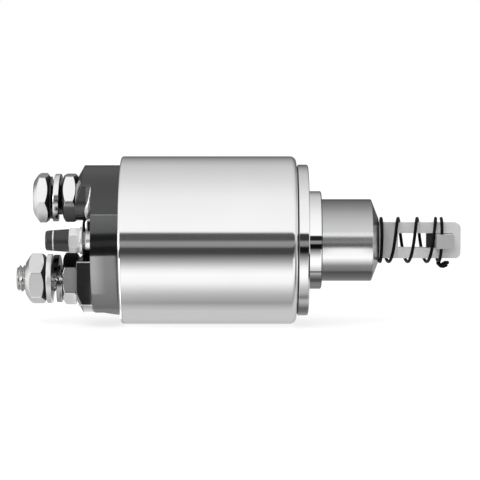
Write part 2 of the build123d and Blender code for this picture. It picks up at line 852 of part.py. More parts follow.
# Spring seat: nose and web inside the slot, an arm on each side with a groove for the spring's last turn
seat_far = slot_far - seat_gap
seat_head_near = seat_far - seat_head_length
seat_height = slot_height - 2 * side_gap
seat_arm_reach = outer_spring_radius + outer_spring_wire / 2 + seat_groove_side + seat_arm_wall
groove_floor = seat_head_near + seat_groove_depth
with BuildPart() as spring_seat:
    with BuildSketch(Plane.XZ.offset(-seat_nose_thickness / 2)):
        with Locations((seat_head_near - seat_nose_length / 2, 0)):
            Rectangle(seat_nose_length, seat_height)
    extrude(amount=seat_nose_thickness)
    with BuildSketch(Plane.XZ.offset(-seat_arm_reach)) as arms:
        with Locations((seat_far - seat_head_length / 2, 0)):
            Rectangle(seat_head_length, seat_height)
        fillet(arms.vertices().group_by(Axis.X)[-1], slot_corner_radius)
    extrude(amount=2 * seat_arm_reach)
    with BuildSketch(cross_section(seat_head_near)):
        Circle(outer_spring_radius + outer_spring_wire / 2 + seat_groove_side)
        Circle(outer_spring_radius - outer_spring_wire / 2 - seat_groove_side, mode=Mode.SUBTRACT)
    extrude(amount=seat_groove_depth, mode=Mode.SUBTRACT)
spring_seat.part.label = "spring_seat"

# Outer spring: left-hand coil from the plunger's face to the bottom of the seat's grooves
outer_spring_foot = plunger_stand_out + outer_spring_wire / 2 + seat_gap / 2
outer_spring_head = groove_floor - outer_spring_wire / 2 - seat_gap / 2
outer_spring_closed = 0.75 * outer_spring_first_pitch + outer_spring_last_pitch
outer_spring_pitch = (outer_spring_head - outer_spring_foot - outer_spring_closed) / outer_spring_turns
outer_spring = coil_spring(
    coil_centre_line(
        outer_spring_foot,
        outer_spring_radius,
        outer_spring_start,
        (
            (0.75, outer_spring_first_pitch),
            (outer_spring_turns, outer_spring_pitch),
            (1, outer_spring_last_pitch),
        ),
        True,
    ),
    outer_spring_wire,
)
outer_spring.part.label = "outer_spring"

# Return spring between the plunger's pocket and the core's
return_spring = closed_coil(
    pocket_end - seat_gap,
    core_front - core_pocket_depth + seat_gap,
    return_spring_radius,
    return_spring_wire,
    return_spring_turns,
)
return_spring.part.label = "return_spring"

# Contact pin: front end that the rod strikes, collar, and a thinner tail for the bridge
with BuildPart() as contact_pin:
    with BuildSketch(Plane.XY):
        groove = pin_tail_radius - ring_clip_groove
        with BuildLine():
            Polyline(
                (pin_front, 0),
                (pin_front, pin_radius - pin_chamfer),
                (pin_front - pin_chamfer, pin_radius),
                (pin_collar_front, pin_radius),
                (pin_collar_front, pin_collar_radius),
                (pin_collar_rear, pin_collar_radius),
                (pin_collar_rear, pin_tail_radius),
                (clip_front, pin_tail_radius),
                (clip_front, groove),
                (clip_rear, groove),
                (clip_rear, pin_tail_radius),
                (pin_rear + pin_chamfer, pin_tail_radius),
                (pin_rear, pin_tail_radius - pin_chamfer),
                (pin_rear, 0),
                close=True,
            )
        make_face()
    revolve(axis=Axis.X)
contact_pin.part.label = "contact_pin"

with BuildPart() as pin_retaining_ring:
    with BuildSketch(cross_section(clip_rear)):
        Circle(ring_clip_radius)
        Circle(pin_tail_radius - ring_clip_groove, mode=Mode.SUBTRACT)
        with Locations((0, -ring_clip_radius)):
            Rectangle(2 * (pin_tail_radius - ring_clip_groove), 2 * ring_clip_radius, mode=Mode.SUBTRACT)
    extrude(amount=ring_clip_thickness)
pin_retaining_ring.part.label = "pin_retaining_ring"

# Contact bridge: copper bar over both contact heads, carried by an insulating bush and washer
tail_bore = pin_tail_radius + running_gap
with BuildPart() as contact_bridge:
    with BuildSketch(cross_section(bridge_rear)):
        with Locations((0, (bridge_top + bridge_bottom) / 2)):
            RectangleRounded(bridge_width, bridge_top - bridge_bottom, bridge_corner)
        Circle(bush_neck_radius + fit_gap, mode=Mode.SUBTRACT)
    extrude(amount=bridge_thickness)
contact_bridge.part.label = "contact_bridge"

with BuildPart() as bridge_bush:
    with BuildSketch(Plane.XY):
        with BuildLine():
            Polyline(
                (bush_front, tail_bore),
                (bush_front, bush_radius),
                (bridge_front, bush_radius),
                (bridge_front, bush_neck_radius),
                (bridge_rear, bush_neck_radius),
                (bridge_rear, tail_bore),
                close=True,
            )
        make_face()
    revolve(axis=Axis.X)
bridge_bush.part.label = "bridge_bush"

with BuildPart() as bridge_washer:
    with BuildSketch(cross_section(washer_rear)):
        Circle(bush_radius)
        Circle(tail_bore, mode=Mode.SUBTRACT)
    extrude(amount=bush_flange)
bridge_washer.part.label = "bridge_washer"

# Contact springs: one presses the bridge on the contacts, one returns the pin
pressure_spring = closed_coil(
    pin_collar_rear - seat_gap / 2,
    bush_front + seat_gap / 2,
    pressure_spring_radius,
    pressure_spring_wire,
    pressure_spring_turns,
)
pressure_spring.part.label = "pressure_spring"

contact_return_spring = closed_coil(
    clip_rear - seat_gap / 2,
    boss_pocket_end + seat_gap / 2,
    contact_spring_radius,
    contact_spring_wire,
    contact_spring_turns,
)
contact_return_spring.part.label = "contact_return_spring"

for piece in (
    housing_can,
    flange_gasket,
    front_flange,
    guide_sleeve,
    coil_bobbin,
    pull_in_winding,
    hold_in_winding,
    coil_wrap,
    fixed_core,
    core_plate,
    lead_grommets,
    cap_gasket,
    terminal_cap,
    battery_stud,
    motor_contact,
    motor_bolt,
    inner_nuts,
    lock_washers,
    battery_washer,
    battery_nut,
    control_stud,
    control_solder,
    control_washer,
    control_nut,
    control_cap,
    coil_leads,
    plunger,
    pull_rod,
    rod_cross_pin,
    spring_seat,
    outer_spring,
    return_spring,
    contact_pin,
    pin_retaining_ring,
    contact_bridge,
    bridge_bush,
    bridge_washer,
    pressure_spring,
    contact_return_spring,
):
    export_step(piece.part, f"parts/{piece.part.label}.step")
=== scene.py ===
import bpy
import bmesh
import math
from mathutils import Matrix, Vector


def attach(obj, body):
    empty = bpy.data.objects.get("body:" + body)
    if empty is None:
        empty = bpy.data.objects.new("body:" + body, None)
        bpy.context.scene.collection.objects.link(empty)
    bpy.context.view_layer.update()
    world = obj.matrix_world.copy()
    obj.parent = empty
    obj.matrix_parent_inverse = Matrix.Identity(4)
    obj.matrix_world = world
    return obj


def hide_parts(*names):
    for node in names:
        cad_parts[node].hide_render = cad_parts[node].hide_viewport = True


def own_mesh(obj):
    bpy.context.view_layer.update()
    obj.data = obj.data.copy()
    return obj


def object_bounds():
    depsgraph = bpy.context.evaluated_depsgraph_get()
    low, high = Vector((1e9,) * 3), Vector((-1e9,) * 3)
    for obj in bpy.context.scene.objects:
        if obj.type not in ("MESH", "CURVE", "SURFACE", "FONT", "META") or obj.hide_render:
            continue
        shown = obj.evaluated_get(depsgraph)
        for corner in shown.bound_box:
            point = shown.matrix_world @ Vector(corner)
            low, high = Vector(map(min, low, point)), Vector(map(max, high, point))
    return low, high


# Looks of the starter solenoid. Lengths here are in millimetres, as in the part's source, and every mesh
# is scaled to metres when it is made. The plunger's axis is X and Z is up.
MM = 0.001
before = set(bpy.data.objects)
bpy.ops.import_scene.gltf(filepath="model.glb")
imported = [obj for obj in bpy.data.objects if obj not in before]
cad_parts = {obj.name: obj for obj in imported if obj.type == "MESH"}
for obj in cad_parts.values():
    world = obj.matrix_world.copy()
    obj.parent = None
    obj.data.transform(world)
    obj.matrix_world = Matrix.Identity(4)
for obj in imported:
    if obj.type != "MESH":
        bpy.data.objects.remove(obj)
cad_low, cad_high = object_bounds()

# Camera: a little above the part and square to its axis
azimuth, elevation, distance = math.radians(0.0), math.radians(4.0), 0.77
view_width, look_at = 0.1793, Vector((-0.0253, 0, 0))
camera_data = bpy.data.cameras.new("camera")
camera = bpy.data.objects.new("camera", camera_data)
bpy.context.scene.collection.objects.link(camera)
back = Vector(
    (
        math.sin(azimuth) * math.cos(elevation),
        -math.cos(azimuth) * math.cos(elevation),
        math.sin(elevation),
    )
)
camera.location = look_at + back * distance
camera.rotation_mode = "QUATERNION"
camera.rotation_quaternion = (-back).to_track_quat("-Z", "Y")
camera_data.sensor_width = 36
camera_data.lens = 36 * distance / view_width
camera_data.clip_start, camera_data.clip_end = 0.05, 20
bpy.context.scene.camera = camera
bpy.context.scene.view_settings.view_transform = "Standard"


# Node helpers
def node(tree, kind, inputs=None, **settings):
    made = tree.nodes.new(kind)
    for key, value in settings.items():
        setattr(made, key, value)
    for key, value in (inputs or {}).items():
        if isinstance(value, bpy.types.NodeSocket):
            tree.links.new(value, made.inputs[key])
        else:
            made.inputs[key].default_value = value
    return made


def calc(tree, operation, a, b=0.0):
    return node(tree, "ShaderNodeMath", {0: a, 1: b}, operation=operation).outputs[0]


def spread(tree, value, low, high, to_low, to_high):
    """Maps low to high onto to_low to to_high, and holds the end values beyond them."""
    return node(
        tree,
        "ShaderNodeMapRange",
        {"Value": value, "From Min": low, "From Max": high, "To Min": to_low, "To Max": to_high},
    ).outputs[0]


# Studio round the part: strips of soft light and dark gaps that run along the axis, seen by glossy rays
# only. Each stop is an angle in degrees round the axis (0 is -Y, 90 up, -90 down) and its brightness.
studio_stops = (
    (-180, 0.45),
    (-134, 0.63),
    (-110, 0.63),
    (-100, 0.50),
    (-92, 0.34),
    (-76, 0.52),
    (-69, 0.68),
    (-56, 1.06),
    (-44, 1.12),
    (-37, 0.96),
    (-31, 0.67),
    (-25, 0.38),
    (-19, 0.17),
    (-14.5, 0.01),
    (-7, 0.005),
    (-4.5, 0.26),
    (1.5, 0.28),
    (3.5, 0.04),
    (13, 0.035),
    (14.8, 1.05),
    (64, 0.93),
    (92, 0.75),
    (128, 0.57),
    (142, 0.41),
    (161, 0.16),
    (180, 0.10),
)
world = bpy.data.worlds.new("studio")
bpy.context.scene.world = world
world.use_nodes = True
tree = world.node_tree
tree.nodes.clear()
direction = node(tree, "ShaderNodeTexCoord").outputs["Generated"]
parts = node(tree, "ShaderNodeSeparateXYZ", {0: direction})
minus_y = calc(tree, "MULTIPLY", parts.outputs["Y"], -1)
turn = calc(tree, "ARCTAN2", parts.outputs["Z"], minus_y)
share = spread(tree, turn, -math.pi, math.pi, 0, 1)
ramp = node(tree, "ShaderNodeValToRGB", {0: share})
elements = ramp.color_ramp.elements
for i, (angle, level) in enumerate(studio_stops):
    place = (angle + 180) / 360
    element = elements[i] if i < 2 else elements.new(place)
    element.position = place
    element.color = (level, level, level, 1)
# Pale patch that lies low and towards the terminals
along_x = parts.outputs["X"]
beside = calc(
    tree,
    "MULTIPLY",
    spread(tree, along_x, -0.070, -0.085, 0, 1),
    spread(tree, along_x, -0.6, -0.3, 0, 1),
)
below = calc(
    tree,
    "MULTIPLY",
    spread(tree, turn, math.radians(-55), math.radians(-65), 0, 1),
    spread(tree, turn, math.radians(-112), math.radians(-100), 0, 1),
)
patch = calc(tree, "MULTIPLY", beside, below)
lower_side = node(
    tree,
    "ShaderNodeMix",
    {"Factor": patch, "A": ramp.outputs["Color"], "B": (0.95, 0.95, 0.95, 1)},
    data_type="RGBA",
)
# Beyond both ends the strips fade into an even tone.
end_tone = spread(tree, along_x, -0.8, 0.8, 0.98, 0.78)
endways = calc(
    tree,
    "MAXIMUM",
    spread(tree, calc(tree, "ABSOLUTE", along_x), 0.80, 0.97, 0, 1),
    spread(tree, along_x, -0.70, -0.88, 0, 1),
)
strips = node(
    tree,
    "ShaderNodeMix",
    {"Factor": endways, "A": lower_side.outputs["Result"], "B": end_tone},
    data_type="RGBA",
)
rays = node(tree, "ShaderNodeLightPath")
even_light = (0.92, 0.92, 0.92, 1)
glossy = node(
    tree,
    "ShaderNodeMix",
    {"Factor": rays.outputs["Is Glossy Ray"], "A": even_light, "B": strips.outputs["Result"]},
    data_type="RGBA",
)
seen = calc(tree, "MAXIMUM", rays.outputs["Is Camera Ray"], rays.outputs["Is Transmission Ray"])
sky = node(
    tree,
    "ShaderNodeMix",
    {"Factor": seen, "A": glossy.outputs["Result"], "B": (1, 1, 1, 1)},
    data_type="RGBA",
)
background = node(tree, "ShaderNodeBackground", {"Color": sky.outputs["Result"], "Strength": 1.0})
output = node(tree, "ShaderNodeOutputWorld")
tree.links.new(background.outputs[0], output.inputs["Surface"])


def lamp(name, place, target, size, power):
    data = bpy.data.lights.new(name, "AREA")
    data.shape = "DISK"
    data.size = size
    data.energy = power
    made = bpy.data.objects.new(name, data)
    bpy.context.scene.collection.objects.link(made)
    made.location = place
    made.rotation_mode = "QUATERNION"
    made.rotation_quaternion = (Vector(target) - Vector(place)).to_track_quat("-Z", "Y")
    made.visible_glossy = False
    made.visible_camera = False
    return made


lamp("key_lamp", (-0.35, -0.7, 0.9), (-0.03, 0, 0), 0.6, 3.4)

# Floor: pale paper that glows for camera rays only, just under the lowest point
floor_mesh = bpy.data.meshes.new("floor")
floor_z, floor_half = cad_low.z - 0.00002, 6
floor_signs = ((-1, -1), (1, -1), (1, 1), (-1, 1))
floor_corners = [(x * floor_half, y * floor_half, floor_z) for x, y in floor_signs]
floor_mesh.from_pydata(floor_corners, [], [(0, 1, 2, 3)])
floor = bpy.data.objects.new("floor", floor_mesh)
bpy.context.scene.collection.objects.link(floor)
floor.visible_glossy = False
floor_material = bpy.data.materials.new("floor_paper")
floor_material.use_nodes = True
tree = floor_material.node_tree
tree.nodes.clear()
rays = node(tree, "ShaderNodeLightPath")
paper = node(tree, "ShaderNodeBsdfDiffuse", {"Color": (0.34, 0.34, 0.34, 1)})
glow_strength = calc(tree, "MULTIPLY", rays.outputs["Is Camera Ray"], 0.75)
glow = node(tree, "ShaderNodeEmission", {"Color": (1, 1, 1, 1), "Strength": glow_strength})
both = node(tree, "ShaderNodeAddShader", {0: paper.outputs[0], 1: glow.outputs[0]})
node(tree, "ShaderNodeOutputMaterial", {"Surface": both.outputs[0]})
floor_mesh.materials.append(floor_material)


def card(name, vertices, faces, near, far):
    """White card that only glossy rays see; near and far are its strengths at y = -40 and y = 0."""
    mesh = bpy.data.meshes.new(name)
    mesh.from_pydata([tuple(c * MM for c in v) for v in vertices], [], faces)
    made = bpy.data.objects.new(name, mesh)
    bpy.context.scene.collection.objects.link(made)
    made.visible_camera = made.visible_diffuse = False
    made.visible_shadow = made.visible_transmission = False
    material = bpy.data.materials.new(name)
    material.use_nodes = True
    tree = material.node_tree
    tree.nodes.clear()
    place = node(tree, "ShaderNodeSeparateXYZ", {0: node(tree, "ShaderNodeTexCoord").outputs["Object"]})
    strength = spread(tree, place.outputs["Y"], -40 * MM, 0, near, far)
    glow = node(tree, "ShaderNodeEmission", {"Color": (1, 1, 1, 1), "Strength": strength})
    node(tree, "ShaderNodeOutputMaterial", {"Surface": glow.outputs[0]})
    mesh.materials.append(material)
    return made


def curved_card(name, low, high, x_rear, x_front, near, far, radius=48, steps=24):
    """Strip of a cylinder round the part's axis, between two angles in degrees."""
    arc = [math.radians(low + (high - low) * i / steps) for i in range(steps + 1)]
    vertices = [(x, -radius * math.cos(a), radius * math.sin(a)) for a in arc for x in (x_rear, x_front)]
    faces = [(2 * i, 2 * i + 1, 2 * i + 3, 2 * i + 2) for i in range(steps)]
    return card(name, vertices, faces, near, far)


# Cards round the terminal cap's rim and its rear edge, beside the plunger, under the lower tower, and
# beyond the terminals
curved_card("cap_card", -106, -13, -81.3, -71.4, 3.3, 1.0)
cap_edge_cards = (
    (-81.3, -79.0, 5.8),
    (-79.0, -78.0, 5.1),
    (-78.0, -77.0, 4.5),
    (-77.0, -76.0, 3.9),
)
for i, (x_rear, x_front, near) in enumerate(cap_edge_cards):
    curved_card("cap_edge_card_%d" % i, -62, -13, x_rear, x_front, near, 1.2, 47.6)
curved_card("plunger_card", -36, -15.5, 6.7, 26.5, 1.05, 1.05, 60)
curved_card("tower_card", -150, -84, -87.5, -81.6, 3.0, 3.0)
end_corners = [(-620, -330, -90), (-430, -560, -90), (-430, -560, 130), (-620, -330, 130)]
card("end_card", end_corners, [(0, 1, 2, 3)], 9.0, 9.0)


# Materials
def finish(
    name,
    colour,
    metallic,
    roughness,
    vary=0.03,
    rough_vary=0.04,
    bump=0.0,
    bump_scale=(400, 400, 400),
    turned=False,
    specular=0.5,
    shade=None,
    spans=(),
):
    """Surface with slight changes of tone and gloss, and a fine relief. turned makes the relief run in
    rings round the axis. shade is a list of (z, tone) for painted light and shade that change with height.
    Each span is (x from, x to, z where it begins, z where it is full, z where it fades, z where it ends,
    tone), a band of painted light or shade."""
    material = bpy.data.materials.new(name)
    material.use_nodes = True
    tree = material.node_tree
    surface = tree.nodes["Principled BSDF"]
    surface.inputs["Metallic"].default_value = metallic
    surface.inputs["Specular IOR Level"].default_value = specular
    place = node(tree, "ShaderNodeTexCoord").outputs["Object"]
    parts = node(tree, "ShaderNodeSeparateXYZ", {0: place})
    grained = node(tree, "ShaderNodeMapping", {"Vector": place, "Scale": (60, 60, 60)})
    cloud = node(
        tree,
        "ShaderNodeTexNoise",
        {"Vector": grained.outputs[0], "Scale": 1.0, "Detail": 3.0},
    )
    tone = spread(tree, cloud.outputs["Fac"], 0.3, 0.7, 1 - vary, 1 + vary)
    if shade:
        low, high = shade[0][0], shade[-1][0]
        share = spread(tree, parts.outputs["Z"], low * MM, high * MM, 0, 1)
        height = node(tree, "ShaderNodeValToRGB", {0: share})
        stops = height.color_ramp.elements
        for i, (z, level) in enumerate(shade):
            stop = stops[i] if i < 2 else stops.new((z - low) / (high - low))
            stop.position = (z - low) / (high - low)
            stop.color = (level, level, level, 1)
        tone = calc(tree, "MULTIPLY", tone, height.outputs["Color"])
    for x_from, x_to, z_from, z_full, z_drop, z_end, level in spans:
        inside = calc(tree, "GREATER_THAN", parts.outputs["X"], x_from * MM)
        for share in (
            calc(tree, "LESS_THAN", parts.outputs["X"], x_to * MM),
            spread(tree, parts.outputs["Z"], z_from * MM, z_full * MM, 0, 1),
            spread(tree, parts.outputs["Z"], z_drop * MM, z_end * MM, 1, 0),
        ):
            inside = calc(tree, "MULTIPLY", inside, share)
        tone = calc(tree, "MULTIPLY", tone, spread(tree, inside, 0, 1, 1, level))
    mixed = node(
        tree,
        "ShaderNodeVectorMath",
        {0: colour, "Scale": tone},
        operation="SCALE",
    )
    tree.links.new(mixed.outputs[0], surface.inputs["Base Color"])
    fine = node(tree, "ShaderNodeMapping", {"Vector": place, "Scale": bump_scale})
    if turned:
        radius = calc(
            tree,
            "SQRT",
            calc(
                tree,
                "ADD",
                calc(tree, "POWER", parts.outputs["Y"], 2),
                calc(tree, "POWER", parts.outputs["Z"], 2),
            ),
        )
        rings = node(tree, "ShaderNodeCombineXYZ", {0: parts.outputs["X"], 1: radius, 2: 0.0})
        tree.links.new(rings.outputs[0], fine.inputs["Vector"])
    relief = node(tree, "ShaderNodeTexNoise", {"Vector": fine.outputs[0], "Scale": 1.0, "Detail": 4.0})
    smoothest = max(0.02, roughness - rough_vary)
    gloss = spread(tree, relief.outputs["Fac"], 0.3, 0.7, smoothest, roughness + rough_vary)
    tree.links.new(gloss, surface.inputs["Roughness"])
    if bump:
        bumped = node(
            tree,
            "ShaderNodeBump",
            {"Height": relief.outputs["Fac"], "Strength": bump, "Distance": 0.00005},
        )
        tree.links.new(bumped.outputs[0], surface.inputs["Normal"])
    return material


can_steel = finish(
    "can_steel",
    (0.90, 0.90, 0.905),
    metallic=0.93,
    roughness=0.085,
    rough_vary=0.015,
    bump=0.02,
    bump_scale=(9000, 9000, 1),
    turned=True,
    vary=0.01,
    # Painted shade darkens the lower half of the crimped rear lip, and a painted dark reflection runs
    # round the front shoulder
    spans=((-70, -68.3, -60, -50, -4, 0, 0.7), (-5.5, -5.0, -17, -12, 0.5, 2.5, 0.35)),
)
# Painted reflections and shade on the front ring: its lower part is darkened in bands, as (z, tone)
ring_painted_reflection_tones = (
    (-28.2, 0.3),
    (-25.4, 0.12),
    (-23.9, 0.18),
    (-20.9, 0.9),
    (-19.6, 0.55),
    (-18.0, 1.0),
    (28.2, 0.96),
)
# Painted shade between the two large terminals: nearly black from z -9.5 to 12.6, as (z, tone)
between_terminals_painted_shade = (
    (-25.0, 1.0),
    (-9.9, 1.0),
    (-9.5, 0.02),
    (5.0, 0.02),
    (12.6, 0.12),
    (14.4, 1.0),
    (26.0, 1.0),
)
# Painted reflections and shade on the locating collar: dark bands by height and a darker lower part, as
# (z, tone)
collar_painted_reflections = (
    (-18.3, 0.11),
    (-16.9, 0.12),
    (-16.4, 0.28),
    (-15.0, 0.26),
    (-14.6, 0.12),
    (-13.6, 0.13),
    (-11.5, 0.9),
    (-11.0, 0.9),
    (-10.9, 0.1),
    (-10.5, 0.1),
    (-10.4, 1.0),
    (-2.1, 1.0),
    (-2.0, 0.5),
    (-0.2, 0.5),
    (-0.1, 1.0),
    (1.0, 1.0),
    (1.1, 0.4),
    (2.6, 0.4),
    (2.7, 1.0),
    (18.3, 1.0),
)
# Painted reflections and shade on the plunger: a bright band just below the middle, darker towards top and
# bottom, as (z, tone)
plunger_painted_reflections = (
    (-15.3, 0.12),
    (-14.2, 0.19),
    (-11.1, 0.15),
    (-10.3, 0.44),
    (-8.6, 0.42),
    (-5.6, 1.0),
    (2.6, 1.0),
    (4.1, 0.64),
    (10.8, 0.48),
    (15.3, 0.24),
)
flange_steel = finish(
    "flange_steel",
    (0.92, 0.92, 0.925),
    metallic=1.0,
    roughness=0.06,
    rough_vary=0.01,
    vary=0.01,
    # Painted reflections and shade by height, and a painted dark reflection on the ring's lower front edge
    shade=ring_painted_reflection_tones,
    spans=((-0.6, -0.02, -13.5, -11.5, -3.5, -2, 0.06),),
)
face_steel = finish(
    "face_steel",
    (0.90, 0.90, 0.905),
    metallic=1.0,
    roughness=0.10,
    rough_vary=0.02,
    bump=0.02,
    bump_scale=(1, 9000, 1),
    turned=True,
    vary=0.01,
)
collar_steel = finish(
    "collar_steel",
    (0.95, 0.95, 0.955),
    metallic=1.0,
    roughness=0.04,
    rough_vary=0.01,
    vary=0.01,
    # Painted reflections and shade by height, and a painted dark reflection on the collar's front edge
    shade=collar_painted_reflections,
    spans=((4.5, 5.2, -60, -50, 50, 60, 0.2),),
)
plunger_steel = finish(
    "plunger_steel",
    (0.95, 0.95, 0.955),
    metallic=1.0,
    roughness=0.22,
    rough_vary=0.02,
    bump=0.02,
    bump_scale=(3000, 3000, 1),
    turned=True,
    vary=0.015,
    # Painted reflections and shade by height
    shade=plunger_painted_reflections,
)
zinc = finish(
    "zinc_plate",
    (0.88, 0.88, 0.88),
    metallic=0.9,
    roughness=0.20,
    rough_vary=0.03,
    bump=0.03,
    bump_scale=(500, 500, 500),
    vary=0.02,
)
washer_zinc = finish(
    "washer_zinc",
    (0.93, 0.93, 0.93),
    metallic=0.3,
    roughness=0.22,
    rough_vary=0.03,
    bump=0.03,
    bump_scale=(500, 500, 500),
    vary=0.02,
)
inner_zinc = finish(
    "inner_zinc",
    (0.90, 0.90, 0.90),
    metallic=0.9,
    roughness=0.18,
    rough_vary=0.03,
    bump=0.03,
    bump_scale=(500, 500, 500),
    vary=0.02,
    # Painted shade between the two large terminals
    shade=between_terminals_painted_shade,
)
# Near-black finish for faces in the gaps between parts, as painted shade
gap_painted_shade = finish(
    "gap_painted_shade",
    (0.035, 0.035, 0.035),
    metallic=0.6,
    roughness=0.25,
    rough_vary=0.03,
    vary=0.05,
)
motor_lock_painted_shade = finish(
    "motor_lock_painted_shade",
    (0.92, 0.92, 0.92),
    metallic=1.0,
    roughness=0.20,
    rough_vary=0.03,
    bump=0.02,
    bump_scale=(500, 500, 500),
    vary=0.02,
    # Painted shade: darker towards the gap between the terminals
    shade=((6, 0.03), (9, 0.3), (12, 0.9), (26, 1.0)),
)
battery_lock_painted_shade = finish(
    "battery_lock_painted_shade",
    (0.62, 0.62, 0.62),
    metallic=1.0,
    roughness=0.16,
    rough_vary=0.03,
    bump=0.02,
    bump_scale=(500, 500, 500),
    vary=0.03,
    # Painted shade: nearly black towards the gap between the terminals
    shade=((-24, 0.6), (-17, 0.6), (-15.5, 0.12), (-13, 0.25), (-11.5, 0.03), (-5, 0.02)),
)
thread_zinc = finish(
    "thread_zinc",
    (0.60, 0.60, 0.59),
    metallic=1.0,
    roughness=0.26,
    rough_vary=0.04,
    bump=0.04,
    bump_scale=(900, 900, 900),
    vary=0.04,
)
rod_steel = finish(
    "rod_steel",
    (1.0, 1.0, 1.0),
    metallic=0.15,
    roughness=0.45,
    rough_vary=0.04,
    bump=0.03,
    bump_scale=(300, 300, 300),
    vary=0.03,
    # Painted light: paler towards the bottom, where the floor blocks light; the slotted length is painted
    # darker
    shade=((-9, 1.0), (-5, 0.97), (0, 0.86), (6, 0.80), (9, 0.80)),
    spans=((20, 33.5, -9, -8, 9, 10, 0.80),),
)
seat_steel = finish(
    "seat_steel",
    (0.55, 0.55, 0.55),
    metallic=0.2,
    roughness=0.42,
    rough_vary=0.03,
    bump=0.03,
    bump_scale=(300, 300, 300),
    vary=0.03,
    # Painted shadow on the seat's nose inside the rod's slot
    spans=((44, 47.2, -9, -8, 9, 10, 0.05),),
)
# Paler plastic, a painted highlight on the cap's parting line and the lower tower's edges
edge_highlight_plastic = finish(
    "edge_highlight_plastic",
    (0.24, 0.24, 0.24),
    metallic=0.3,
    roughness=0.16,
    rough_vary=0.02,
    vary=0.05,
)
# Pale plastic, a painted highlight on the upper tower's root and the lower tower's top and bottom edges
root_highlight_plastic = finish(
    "root_highlight_plastic",
    (0.80, 0.80, 0.80),
    metallic=0.3,
    roughness=0.20,
    rough_vary=0.02,
    vary=0.05,
)
cap_plastic = finish(
    "cap_plastic",
    (0.012, 0.0125, 0.0125),
    metallic=0.0,
    roughness=0.10,
    rough_vary=0.01,
    bump=0.01,
    bump_scale=(120, 120, 120),
    vary=0.05,
    specular=0.85,
    # Painted light: paler patches on the upper tower's flank and top, and a paler band just below the
    # parting line
    spans=(
        (-86, -79.5, 9, 16, 20, 22, 5.0),
        (-86, -84.4, 18, 22, 30, 31, 3.0),
        (-79.4, -69, 3, 9.8, 10.6, 10.8, 5.5),
    ),
)
stud_cap_plastic = finish(
    "stud_cap_plastic",
    (0.035, 0.035, 0.035),
    metallic=0.0,
    roughness=0.30,
    rough_vary=0.02,
    bump=0.03,
    bump_scale=(300, 300, 300),
    vary=0.05,
)
spring_black = finish(
    "spring_black",
    (0.003, 0.003, 0.003),
    metallic=0.0,
    roughness=0.3,
    rough_vary=0.04,
    bump=0.05,
    bump_scale=(700, 700, 700),
    vary=0.1,
    specular=0.08,
)
spring_steel = finish(
    "spring_steel",
    (0.5, 0.5, 0.5),
    metallic=1.0,
    roughness=0.3,
    rough_vary=0.08,
    bump=0.1,
    vary=0.05,
)
solder_grey = finish(
    "solder_grey",
    (0.72, 0.72, 0.71),
    metallic=0.8,
    roughness=0.32,
    rough_vary=0.1,
    bump=0.8,
    bump_scale=(1400, 1400, 1400),
    vary=0.12,
)
lead_tin = finish(
    "lead_tin",
    (0.78, 0.77, 0.75),
    metallic=0.9,
    roughness=0.3,
    rough_vary=0.08,
    bump=0.3,
    bump_scale=(900, 900, 900),
    vary=0.06,
)
gasket_rubber = finish(
    "gasket_rubber",
    (0.03, 0.03, 0.03),
    metallic=0.0,
    roughness=0.6,
    vary=0.15,
    bump=0.3,
    bump_scale=(600, 600, 600),
)
copper = finish(
    "contact_copper",
    (0.80, 0.42, 0.26),
    metallic=1.0,
    roughness=0.28,
    vary=0.06,
    bump=0.2,
    bump_scale=(800, 800, 800),
)
winding_copper = finish(
    "winding_enamel",
    (0.55, 0.23, 0.10),
    metallic=0.9,
    roughness=0.3,
    vary=0.08,
    bump=1.0,
    bump_scale=(1500, 20, 20),
)
brown = finish(
    "brown_moulding",
    (0.16, 0.08, 0.045),
    metallic=0.0,
    roughness=0.45,
    vary=0.12,
    bump=0.3,
    bump_scale=(500, 500, 500),
)
bobbin_white = finish(
    "bobbin_nylon",
    (0.62, 0.60, 0.54),
    metallic=0.0,
    roughness=0.5,
    vary=0.06,
    bump=0.2,
    bump_scale=(600, 600, 600),
)
paper_wrap = finish(
    "wrap_paper",
    (0.50, 0.40, 0.24),
    metallic=0.0,
    roughness=0.75,
    vary=0.12,
    bump=0.5,
    bump_scale=(700, 700, 700),
)
iron = finish(
    "soft_iron",
    (0.46, 0.45, 0.44),
    metallic=1.0,
    roughness=0.38,
    vary=0.08,
    bump=0.2,
    bump_scale=(3000, 3000, 1),
    turned=True,
)
sleeve_brass = finish(
    "sleeve_brass",
    (0.72, 0.56, 0.28),
    metallic=1.0,
    roughness=0.3,
    vary=0.06,
    bump=0.15,
    bump_scale=(2500, 2500, 1),
    turned=True,
)


# Mesh helpers
def mesh_piece(name, vertices, faces, material, smooth=35):
    mesh = bpy.data.meshes.new(name)
    mesh.from_pydata([tuple(c * MM for c in v) for v in vertices], [], faces)
    mesh.validate()
    made = bpy.data.objects.new(name, mesh)
    bpy.context.scene.collection.objects.link(made)
    mesh.materials.append(material)
    tidy_mesh(made, smooth)
    return made


def tidy_mesh(made, smooth=35):
    """Merges doubled points, turns all faces outwards and keeps edges sharper than this angle sharp."""
    work = bmesh.new()
    work.from_mesh(made.data)
    bmesh.ops.remove_doubles(work, verts=work.verts, dist=1e-7)
    bmesh.ops.recalc_face_normals(work, faces=work.faces)
    work.to_mesh(made.data)
    work.free()
    for polygon in made.data.polygons:
        polygon.use_smooth = True
    made.data.set_sharp_from_angle(angle=math.radians(smooth))


def weighted(made):
    """Flat faces keep their flat look beside rounded edges."""
    modifier = made.modifiers.new("weighted", "WEIGHTED_NORMAL")
    modifier.weight = 80
    modifier.keep_sharp = True


def bake(made):
    """Applies the modifiers."""
    graph = bpy.context.evaluated_depsgraph_get()
    mesh = bpy.data.meshes.new_from_object(made.evaluated_get(graph))
    old = made.data
    made.modifiers.clear()
    made.data = mesh
    bpy.data.meshes.remove(old)


